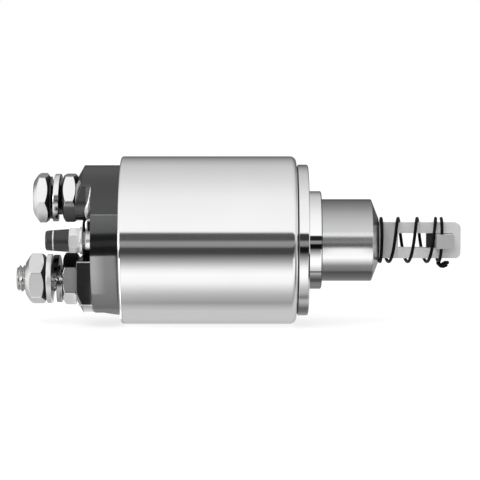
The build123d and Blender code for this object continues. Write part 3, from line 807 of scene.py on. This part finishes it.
def combine(made, other, operation):
    modifier = made.modifiers.new("combine", "BOOLEAN")
    modifier.object = other
    modifier.operation = operation
    modifier.solver = "EXACT"
    bake(made)
    bpy.data.objects.remove(other)
    tidy_mesh(made)


def corners_rounded(points, steps=5):
    """Outline of (a, b, radius) corners as plain points, each corner replaced by an arc of its radius."""
    out = []
    for i, (a, b, radius) in enumerate(points):
        here = Vector((a, b))
        before = Vector(points[i - 1][:2])
        after = Vector(points[(i + 1) % len(points)][:2])
        if radius <= 0:
            out.append(here)
            continue
        u, v = (before - here).normalized(), (after - here).normalized()
        half = u.angle(v) / 2
        run = min(radius / math.tan(half), 0.48 * (before - here).length, 0.48 * (after - here).length)
        radius = run * math.tan(half)
        centre = here + (u + v).normalized() * (radius / math.sin(half))
        first, last = here + u * run - centre, here + v * run - centre
        start = math.atan2(first.y, first.x)
        swing = (math.atan2(last.y, last.x) - start + math.pi) % (2 * math.pi) - math.pi
        for k in range(steps + 1):
            angle = start + swing * k / steps
            out.append(centre + radius * Vector((math.cos(angle), math.sin(angle))))
    return out


def lathe(name, profile, material, y=0.0, z=0.0, sides=160, steps=5):
    """Closed profile of (x, radius, corner radius) turned about the line through y, z along X."""
    line = corners_rounded(profile, steps)
    vertices, faces = [], []
    count = len(line)
    for k in range(sides):
        angle = 2 * math.pi * k / sides
        for x, radius in line:
            vertices.append((x, y - radius * math.cos(angle), z + radius * math.sin(angle)))
    for k in range(sides):
        following = (k + 1) % sides
        for i in range(count):
            j = (i + 1) % count
            if line[i][1] < 1e-6 and line[j][1] < 1e-6:
                continue
            face = [k * count + i, k * count + j, following * count + j, following * count + i]
            if line[i][1] < 1e-6:
                face = face[:3]
            elif line[j][1] < 1e-6:
                face = [face[0], face[1], face[3]]
            faces.append(face)
    made = mesh_piece(name, vertices, faces, material)
    weighted(made)
    return made


def hexagon_outline(flats, turn, corner=0.45, per_side=10):
    """Rounded hexagon round the axis as (y, z); a turn of 0 has a corner straight up."""
    radius = flats / math.sqrt(3)
    angles = [math.radians(90 + turn + 60 * k) for k in range(6)]
    sharp = [(radius * math.cos(a), radius * math.sin(a), corner) for a in angles]
    rounded = corners_rounded(sharp, 4)
    out = []
    for i, point in enumerate(rounded):
        following = rounded[(i + 1) % len(rounded)]
        out.append(point)
        if (following - point).length > 1.5:
            out.extend(point.lerp(following, k / per_side) for k in range(1, per_side))
    return out


def hex_piece(
    name,
    x_front,
    thickness,
    flats,
    y,
    z,
    material,
    turn=0.0,
    bore=None,
    outer=None,
    inner=None,
    dark=None,
):
    """Nut or bolt head: its flats meet a turned cone at each end, and a nut's bore is countersunk. outer
    and inner are the radius of the flat face that each cone leaves, at the rear and at the front, and dark
    is a material for the front face, which paints shade there."""
    outline = hexagon_outline(flats, turn)
    outer, inner = outer or 0.5 * flats, inner or 0.5 * flats
    slope = math.tan(math.radians(34))
    x_rear = x_front - thickness
    unit = [p.normalized() for p in outline]
    hole = bore or 0.0
    rings = []

    def ring(radii, drops):
        rings.append([(x, u * r) for x, u, r in zip(drops, unit, radii)])

    def even(radius, x):
        ring([radius] * len(unit), [x] * len(unit))

    def cone(x_end, direction, face, order):
        full = [p.length for p in outline]
        parts = []
        parts.append(([face - 0.25] * len(unit), [x_end] * len(unit)))
        parts.append(([face + 0.25] * len(unit), [x_end + direction * 0.25 * slope] * len(unit)))
        for share in (0.5, 0.9):
            radii = [face + (f - 0.1 - face) * share for f in full]
            parts.append((radii, [x_end + direction * (r - face) * slope for r in radii]))
        radii = [f - 0.1 for f in full]
        parts.append((radii, [x_end + direction * (f - 0.1 - face) * slope for f in full]))
        parts.append((full, [x_end + direction * ((f - face) * slope + 0.1) for f in full]))
        parts.append((full, [x_end + direction * ((f - face) * slope + 0.35) for f in full]))
        for radii, xs in parts if order > 0 else reversed(parts):
            ring(radii, xs)

    if bore:
        even(hole, x_rear + 0.6)
        even(hole + 0.5, x_rear)
    else:
        even(0.01, x_rear)
        even(outer * 0.6, x_rear)
    cone(x_rear, 1, outer, 1)
    cone(x_front, -1, inner, -1)
    if bore:
        even(hole + 0.5, x_front)
        even(hole, x_front - 0.6)
    else:
        even(0.01, x_front)
    count = len(outline)
    vertices = [(x, y + p.x, z + p.y) for values in rings for x, p in values]
    faces = []
    closed = len(rings) if bore else len(rings) - 1
    for r in range(closed):
        s = (r + 1) % len(rings)
        for i in range(count):
            j = (i + 1) % count
            faces.append((r * count + i, r * count + j, s * count + j, s * count + i))
    if not bore:
        faces.append(tuple(range(count)))
        faces.append(tuple(range((len(rings) - 1) * count, len(rings) * count)))
    made = mesh_piece(name, vertices, faces, material, 24)
    # Faces towards the cap take the dark material, as painted shade in the gap
    if dark:
        made.data.materials.append(dark)
        for polygon in made.data.polygons:
            if polygon.normal.x > 0.3:
                polygon.material_index = 1
    weighted(made)
    return made


def tube_faces(rings, sides):
    """Faces of a tube whose rings of points follow each other, with a flat face at each end."""
    faces = []
    for i in range(rings - 1):
        for k in range(sides):
            m = (k + 1) % sides
            faces.append((i * sides + k, i * sides + m, (i + 1) * sides + m, (i + 1) * sides + k))
    faces.append(tuple(range(sides)))
    faces.append(tuple(range((rings - 1) * sides, rings * sides)))
    return faces


def sweep(name, line, section, material, smooth=40, fixed_up=None):
    """Carries a closed section (u, v) along a line of points. fixed_up is the (y, z) of a line along X
    that v then always points away from."""
    vertices = []
    count = len(section)
    up = None
    for i, point in enumerate(line):
        before, after = line[max(i - 1, 0)], line[min(i + 1, len(line) - 1)]
        along = (after - before).normalized()
        if fixed_up is not None:
            v = Vector((0, point.y - fixed_up[0], point.z - fixed_up[1])).normalized()
            u = along.cross(v).normalized()
            v = u.cross(along).normalized()
        else:
            if up is None:
                up = Vector((0, 0, 1)) if abs(along.z) < 0.9 else Vector((0, 1, 0))
            u = along.cross(up).normalized()
            v = u.cross(along).normalized()
            up = v
        for a, b in section:
            vertices.append(tuple(point + u * a + v * b))
    return mesh_piece(name, vertices, tube_faces(len(line), count), material, smooth)


def circle_section(radius, sides=16):
    return [
        (radius * math.cos(2 * math.pi * k / sides), radius * math.sin(2 * math.pi * k / sides))
        for k in range(sides)
    ]


def coil_line(start_x, radius, start_angle, runs, left, z=0.0, per_turn=48):
    """Points of a coil about X, made of runs of (turns, pitch)."""
    out, x, angle = [], start_x, math.radians(start_angle)
    sign = -1 if left else 1
    for turns, pitch in runs:
        steps = max(2, int(round(per_turn * turns)))
        for k in range(steps + 1):
            if out and k == 0:
                continue
            share = k / steps
            a = angle + sign * 2 * math.pi * turns * share
            here = x + turns * pitch * share
            out.append(Vector((here, -radius * math.sin(a), z + radius * math.cos(a))))
        x += turns * pitch
        angle += sign * 2 * math.pi * turns
    # Each change of pitch is eased, as a wound wire has no kinks.
    xs = [p.x for p in out]
    for _ in range(6):
        for i in range(2, len(out) - 2):
            out[i].x = (xs[i - 2] + xs[i - 1] + xs[i] + xs[i + 1] + xs[i + 2]) / 5
        xs = [p.x for p in out]
    return out


def thread(name, x_start, x_end, radius, pitch, material, z=0.0, chamfer=1.0, sides=64, per_turn=10):
    """Threaded rod from x_start (outer end, chamfered) to x_end."""
    depth = 0.61 * pitch
    steps = int(math.ceil(abs(x_end - x_start) / pitch * per_turn))
    vertices = []
    for i in range(steps + 1):
        x = x_start + (x_end - x_start) * i / steps
        from_end = abs(x - x_start)
        limit = radius - max(0.0, chamfer - from_end)
        for k in range(sides):
            phase = ((x - x_start) / pitch + k / sides) % 1.0
            wave = abs(2 * phase - 1)
            crest = min(1.0, max(0.0, (wave - 0.12) / 0.72))
            r = min(radius - depth * (1 - crest), limit)
            angle = 2 * math.pi * k / sides
            vertices.append((x, -r * math.cos(angle), z + r * math.sin(angle)))
    return mesh_piece(name, vertices, tube_faces(steps + 1, sides), material, 50)


def stand_in(made, body, *nodes):
    """Shows a piece in place of CAD nodes, and lets it ride on a body."""
    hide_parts(*nodes)
    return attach(made, body)


# Places along the axis
can_front, can_rear, can_rear_step = -4.4, -69.4, -59.4
cap_rear, tower_face = -79.4, -85.4
inner_nut_rear, lock_rear, washer_rear, stud_end = -91.0, -95.2, -97.2, -108.5
bolt_front, bolt_tip = -95.6, -79.2
contact_face, cap_floor = -74.3, -77.3
solder_rear, small_washer_rear, small_nut_rear, small_cap_rear = -82.7, -83.7, -87.7, -96.3
plunger_rear, plunger_front, collar_end = -18.8, 26.2, 4.9

# Radii and sizes across flats
can_radius, can_bore, cap_radius = 31.25, 29.25, 28.05
flange_radius, collar_radius, flange_bore, fixing_circle = 28.15, 18.25, 16.14, 23
plunger_radius, plunger_bore, rod_bore = 15.25, 11.8, 6.03
terminal_radius, terminal_bore, terminal_flats = 5.0, 5.03, 17
washer_radius, small_washer_radius = 9.2, 5
control_bore, control_flats = 2.53, 8
fixing_core, fixing_thread = 2.5, 3.0
fixing_angles = (30, 150, 270)

# Heights of nuts and bolt head, and the pitch of the large threads
inner_nut_height, battery_nut_height, bolt_head_height, control_nut_height = 5.6, 8.0, 6.4, 4.0
terminal_pitch = 1.5

# Housing can: drawn shell with a rolled front shoulder and a crimped rear lip
hub, fit = 20.0, 0.03
can_shell = lathe(
    "can_shell",
    [
        (can_front, hub + fit, 0.2),
        (can_front, can_radius, 2.3),
        (can_rear, can_radius, 0.9),
        (can_rear, cap_radius, 0.3),
        (can_rear + 1.5, cap_radius, 0.2),
        (can_rear + 1.5, can_bore, 0),
        (can_rear_step, can_bore, 0),
        (can_rear_step, cap_radius, 0),
        (can_front - 4, cap_radius, 0),
        (can_front - 4, hub + fit, 0),
    ],
    can_steel,
    sides=256,
    steps=8,
)
stand_in(can_shell, "housing", "housing_can")

# Front flange: ring and locating collar, with three tapped fixing holes
hub_rear, ring_rear = -8.4, -3.9
flange = lathe(
    "flange_ring",
    [
        (hub_rear, flange_bore, 0),
        (hub_rear, hub, 0),
        (ring_rear, hub, 0),
        (ring_rear, flange_radius, 0.25),
        (0, flange_radius, 0.75),
        (0, collar_radius, 0.15),
        (collar_end, collar_radius, 0.6),
        (collar_end, flange_bore, 0.2),
    ],
    flange_steel,
    sides=256,
    steps=6,
)
for fixing_angle in fixing_angles:
    grooves = [(-4.4, 0, 0), (-4.4, fixing_core, 0)]
    for k in range(4):
        grooves += [(-3.95 + k, fixing_core, 0), (-3.45 + k, fixing_thread, 0)]
    grooves += [(-0.25, fixing_core, 0), (0.3, fixing_thread + 0.1, 0), (0.3, 0, 0)]
    cutter = lathe(
        "fixing_cutter",
        grooves,
        flange_steel,
        y=fixing_circle * math.cos(math.radians(fixing_angle)),
        z=fixing_circle * math.sin(math.radians(fixing_angle)),
        sides=32,
    )
    bake(cutter)
    combine(flange, cutter, "DIFFERENCE")
flange.data.materials.append(collar_steel)
flange.data.materials.append(face_steel)
for polygon in flange.data.polygons:
    if polygon.normal.x > 0.95:
        polygon.material_index = 2
    elif polygon.center.x > 0.05 * MM:
        polygon.material_index = 1
weighted(flange)
stand_in(flange, "housing", "front_flange")

# Plunger with its turned nose
plunger_body = lathe(
    "plunger_body",
    [
        (plunger_rear, plunger_bore, 0.2),
        (plunger_rear, plunger_radius, 0.5),
        (plunger_front - 2.7, plunger_radius, 0.5),
        (plunger_front, 8.4, 0.3),
        (plunger_front, rod_bore, 0),
        (plunger_rear + 15.5, rod_bore, 0),
        (plunger_rear + 15.5, plunger_bore, 0),
    ],
    plunger_steel,
    sides=256,
    steps=5,
)
stand_in(plunger_body, "plunger", "plunger")

# Outer spring: black wire, left-hand
foot, head, outer_radius, outer_wire = 26.85, 49.75, 8.1, 1.2
outer_pitch = (head - foot - (0.75 * 0.8 + 1.92)) / 2.87
outer_spring = sweep(
    "outer_spring_wire",
    coil_line(foot, outer_radius, -135, ((0.75, 0.8), (2.87, outer_pitch), (1, 1.92)), True),
    circle_section(outer_wire / 2),
    spring_black,
)
stand_in(outer_spring, "plunger", "outer_spring")
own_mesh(outer_spring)


def hidden_spring(name, replaced, body, front, rear, radius, wire, turns):
    """Right-hand spring between two places on the axis, with most of a closed turn at each end."""
    pitch = (front - rear - 2.5 * wire) / turns
    runs = ((0.75, wire), (turns, pitch), (0.75, wire))
    line = coil_line(rear + wire / 2, radius, 0, runs, False)
    made = sweep(name, line, circle_section(wire / 2, 12), spring_steel)
    stand_in(made, body, replaced)
    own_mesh(made)
    return made


hidden_spring(
    "return_spring_wire",
    "return_spring",
    "housing",
    front=-3.4,
    rear=-35.2,
    radius=10.65,
    wire=1.7,
    turns=4.6,
)
hidden_spring(
    "contact_return_wire",
    "contact_return_spring",
    "housing",
    front=-73.65,
    rear=-81.75,
    radius=3.8,
    wire=0.7,
    turns=3.0,
)
hidden_spring(
    "pressure_wire",
    "pressure_spring",
    "contact_pin",
    front=-60.6,
    rear=-68.65,
    radius=5.0,
    wire=1.0,
    turns=2.0,
)

# Large terminals
motor_z, battery_z = 15.85, -14.4
upper_nut = hex_piece(
    "motor_inner_nut",
    tower_face,
    inner_nut_height,
    terminal_flats,
    0,
    motor_z,
    inner_zinc,
    turn=35,
    bore=terminal_bore,
    outer=7.9,
    inner=7.6,
    dark=gap_painted_shade,
)
lower_nut = hex_piece(
    "battery_inner_nut",
    tower_face,
    inner_nut_height,
    terminal_flats,
    0,
    battery_z,
    inner_zinc,
    turn=0,
    bore=terminal_bore,
)
stand_in(upper_nut, "housing", "inner_nuts")
stand_in(lower_nut, "housing", "inner_nuts")
battery_nut = hex_piece(
    "battery_nut_piece",
    washer_rear,
    battery_nut_height,
    terminal_flats,
    0,
    battery_z,
    zinc,
    turn=12,
    bore=terminal_bore,
    outer=6.1,
    inner=7.3,
    dark=gap_painted_shade,
)
stand_in(battery_nut, "housing", "battery_nut")
bolt_head = hex_piece(
    "motor_bolt_head",
    bolt_front,
    bolt_head_height,
    terminal_flats,
    0,
    motor_z,
    zinc,
    turn=-21,
    outer=6.1,
    inner=7.3,
    dark=gap_painted_shade,
)
stand_in(bolt_head, "housing", "motor_bolt")
# Washer face under the bolt head and the bolt's thread are near black, as painted shade
bolt_face = lathe(
    "motor_bolt_face",
    [(lock_rear, 0, 0), (lock_rear, 7.9, 0.1), (bolt_front - 0.1, 7.9, 0), (bolt_front - 0.1, 0, 0)],
    gap_painted_shade,
    z=motor_z,
    sides=96,
)
stand_in(bolt_face, "housing", "motor_bolt")
bolt_shank = thread(
    "motor_bolt_thread",
    bolt_tip,
    bolt_front + 0.2,
    terminal_radius,
    terminal_pitch,
    gap_painted_shade,
    z=motor_z,
)
stand_in(bolt_shank, "housing", "motor_bolt")
stud = thread(
    "battery_stud_thread",
    stud_end,
    cap_floor,
    terminal_radius,
    terminal_pitch,
    thread_zinc,
    z=battery_z,
)
stand_in(stud, "housing", "battery_stud")
stud_head = lathe(
    "battery_contact_head",
    [(contact_face, 0, 0), (contact_face, 6.5, 0.3), (cap_floor, 6.5, 0.3), (cap_floor, 0, 0)],
    copper,
    z=battery_z,
    sides=96,
)
stand_in(stud_head, "housing", "battery_stud")
washer = lathe(
    "battery_washer_piece",
    [
        (lock_rear, terminal_bore, 0.1),
        (lock_rear, washer_radius, 0.35),
        (washer_rear, washer_radius, 0.35),
        (washer_rear, terminal_bore, 0.1),
    ],
    washer_zinc,
    z=battery_z,
    sides=128,
)
stand_in(washer, "housing", "battery_washer")


def split_washer(name, x_front, z, split, material):
    """One turn of flat wire with a gap; split is the gap's angle: 90 towards -Y and 180 down."""
    radius, width, thick, height, gap = 8.9, 3.6, 2.2, 4.2, 12
    mean, rise, share = radius - width / 2, height - thick, 1 - gap / 360
    x_start, runs = x_front - height + thick / 2, ((share, rise / share),)
    line = coil_line(x_start, mean, split - gap / 2, runs, True, z=z, per_turn=96)
    half_thick, half_width = thick / 2, width / 2
    section = corners_rounded(
        [
            (-half_thick, -half_width, 0.3),
            (half_thick, -half_width, 0.3),
            (half_thick, half_width, 0.3),
            (-half_thick, half_width, 0.3),
        ],
        3,
    )
    made = sweep(name, line, [tuple(p) for p in section], material, fixed_up=(0.0, z), smooth=30)
    # Its two flat sides are painted shade where it meets its neighbours
    made.data.materials.append(gap_painted_shade)
    for polygon in made.data.polygons:
        if abs(polygon.normal.x) > 0.6:
            polygon.material_index = 1
    return made


stand_in(
    split_washer("motor_lock_washer", inner_nut_rear, motor_z, 215, motor_lock_painted_shade),
    "housing",
    "lock_washers",
)
stand_in(
    split_washer("battery_lock_washer", inner_nut_rear, battery_z, 90, battery_lock_painted_shade),
    "housing",
    "lock_washers",
)

# Control terminal
control_y, control_z = -17.0, 1.0
solder = lathe(
    "control_solder_joint",
    [
        (cap_rear, control_bore, 0),
        (cap_rear, 3.55, 0),
        (cap_rear - 2.1, 3.5, 0.6),
        (solder_rear, 2.9, 0.4),
        (solder_rear, control_bore, 0),
    ],
    solder_grey,
    y=control_y,
    z=control_z,
    sides=64,
)
stand_in(solder, "housing", "control_solder")
small_washer = lathe(
    "control_washer_piece",
    [
        (solder_rear, control_bore, 0.05),
        (solder_rear, small_washer_radius, 0.2),
        (small_washer_rear, small_washer_radius, 0.2),
        (small_washer_rear, control_bore, 0.05),
    ],
    washer_zinc,
    y=control_y,
    z=control_z,
    sides=96,
)
stand_in(small_washer, "housing", "control_washer")
small_nut = hex_piece(
    "control_nut_piece",
    small_washer_rear,
    control_nut_height,
    control_flats,
    control_y,
    control_z,
    washer_zinc,
    bore=control_bore,
)
stand_in(small_nut, "housing", "control_nut")
small_cap = lathe(
    "control_stud_cap",
    [
        (small_nut_rear, control_bore, 0.1),
        (small_nut_rear, 4.2, 0.25),
        (small_cap_rear, 3.6, 0.8),
        (small_cap_rear, 0, 0),
        (small_cap_rear + 1.4, 0, 0),
        (small_cap_rear + 1.4, control_bore, 0.1),
    ],
    stud_cap_plastic,
    y=control_y,
    z=control_z,
    sides=96,
)
stand_in(small_cap, "housing", "control_cap")
cap_band = lathe(
    "control_cap_band",
    [(-93.15, 3.7, 0), (-93.15, 3.87, 0.04), (-93.6, 3.87, 0.04), (-93.6, 3.7, 0)],
    washer_zinc,
    y=control_y,
    z=control_z,
    sides=96,
)
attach(cap_band, "housing")


def bead(name, line, radii, material, body="housing", sides=20):
    """Round moulding along a line of points, with a radius for each of them."""
    vertices = []
    for i, (point, radius) in enumerate(zip(line, radii)):
        along = (line[min(i + 1, len(line) - 1)] - line[max(i - 1, 0)]).normalized()
        u = Vector((1, 0, 0)) if abs(along.x) < 0.5 else Vector((0, 0, 1))
        v = along.cross(u).normalized()
        u = v.cross(along)
        for k in range(sides):
            angle = 2 * math.pi * k / sides
            vertices.append(tuple(point + (u * math.cos(angle) + v * math.sin(angle)) * radius))
    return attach(mesh_piece(name, vertices, tube_faces(len(line), sides), material, 60), body)


def even_bead(name, points, radius, material):
    bead(name, [Vector(point) for point in points], [radius] * len(points), material)


# Mouldings of the terminal cap: parting line, and the roots and edges of the two towers, in paler plastic
# as painted highlights
even_bead("cap_parting_line", [(x, -25.72, 10.85) for x in (-79.2, -75, -69.5)], 0.2, edge_highlight_plastic)
flank = (
    (-79.6, -20.4, 20.6, 0.12),
    (-79.7, -20.3, 19, 0.22),
    (-79.9, -20.1, 17.4, 0.36),
    (-80.1, -19.9, 16, 0.52),
)
root = [Vector(place[:3]) for place in flank]
radii = [place[3] for place in flank]
# Then round the tower's lower side: (angle, x, radius of the bead)
for angle, x, radius in (
    (5, -80.3, 0.7),
    (12, -80.5, 0.95),
    (19, -80.7, 1.1),
    (26, -81, 1.0),
    (33, -81.2, 0.75),
    (40, -81.4, 0.42),
    (47, -81.4, 0.18),
):
    a = math.radians(angle)
    root.append(Vector((x, -11.1 - 8.6 * math.cos(a), 15.5 - 8.6 * math.sin(a))))
    radii.append(radius)
bead("upper_tower_root", root, radii, root_highlight_plastic)
even_bead("lower_tower_root", [(cap_rear, -15.6, z) for z in (-22.4, -15, -7.2)], 0.3, edge_highlight_plastic)
even_bead("lower_tower_top_edge", [(x, -15.5, -7.1) for x in (-85.1, -82, -79.5)], 0.25, root_highlight_plastic)
even_bead("lower_tower_low_edge", [(x, -15.5, -22.9) for x in (-84.6, -82, -79.5)], 0.22, root_highlight_plastic)
even_bead("lower_tower_face_edge", [(-85.2, -15.45, z) for z in (-21.8, -15, -7.2)], 0.16, edge_highlight_plastic)

# Dark discs at the ends of the three tapped holes, as painted shade
for k, fixing_angle in enumerate(fixing_angles):
    y = fixing_circle * math.cos(math.radians(fixing_angle))
    z = fixing_circle * math.sin(math.radians(fixing_angle))
    hole_end = [Vector((-4.3, y, z)), Vector((-3.7, y, z))]
    bead("fixing_hole_end_%d" % k, hole_end, [2.4, 2.4], gap_painted_shade, sides=32)

# Bent end of the outer spring, hooked under the seat
hook = (
    (48.6, -1.2, -8.5),
    (49.2, -2.9, -9.1),
    (50.1, -4.2, -8.7),
    (51.1, -4.4, -8.1),
    (51.8, -3.4, -8.2),
    (51.5, -2.3, -9.1),
    (50.5, -1.9, -9.6),
    (49.5, -2.6, -9.4),
    (49.3, -3.6, -8.9),
)
hook_radii = [0.78] * (len(hook) - 1) + [0.6]
bead("outer_spring_hook", [Vector(point) for point in hook], hook_radii, spring_black, "spring_seat")

# Dressed CAD nodes
dress = {
    "flange_gasket": gasket_rubber,
    "cap_gasket": gasket_rubber,
    "guide_sleeve": sleeve_brass,
    "coil_bobbin": bobbin_white,
    "pull_in_winding": winding_copper,
    "hold_in_winding": winding_copper,
    "coil_wrap": paper_wrap,
    "fixed_core": iron,
    "core_plate": iron,
    "lead_grommets": gasket_rubber,
    "terminal_cap": cap_plastic,
    "motor_contact": copper,
    "control_stud": thread_zinc,
    "coil_leads": lead_tin,
    "pull_rod": rod_steel,
    "rod_cross_pin": spring_steel,
    "spring_seat": seat_steel,
    "contact_pin": spring_steel,
    "pin_retaining_ring": spring_steel,
    "contact_bridge": copper,
    "bridge_bush": brown,
    "bridge_washer": brown,
}
for name, material in dress.items():
    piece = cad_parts[name]
    for slot in piece.material_slots:
        slot.link = "OBJECT"
        slot.material = material


def soften_cad(name, width, steps=3, angle=30):
    """Rounds a CAD node's edges as it shows, without touching its mesh."""
    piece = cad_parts[name]
    weld = piece.modifiers.new("weld", "WELD")
    weld.merge_threshold = 1e-6
    bevel = piece.modifiers.new("edges", "BEVEL")
    bevel.width = width * MM
    bevel.segments = steps
    bevel.limit_method = "ANGLE"
    bevel.angle_limit = math.radians(angle)
    bevel.use_clamp_overlap = True
    smooth = piece.modifiers.new("weighted", "WEIGHTED_NORMAL")
    smooth.weight = 80


soften_cad("terminal_cap", 0.35)
soften_cad("pull_rod", 0.3)
soften_cad("spring_seat", 0.2)
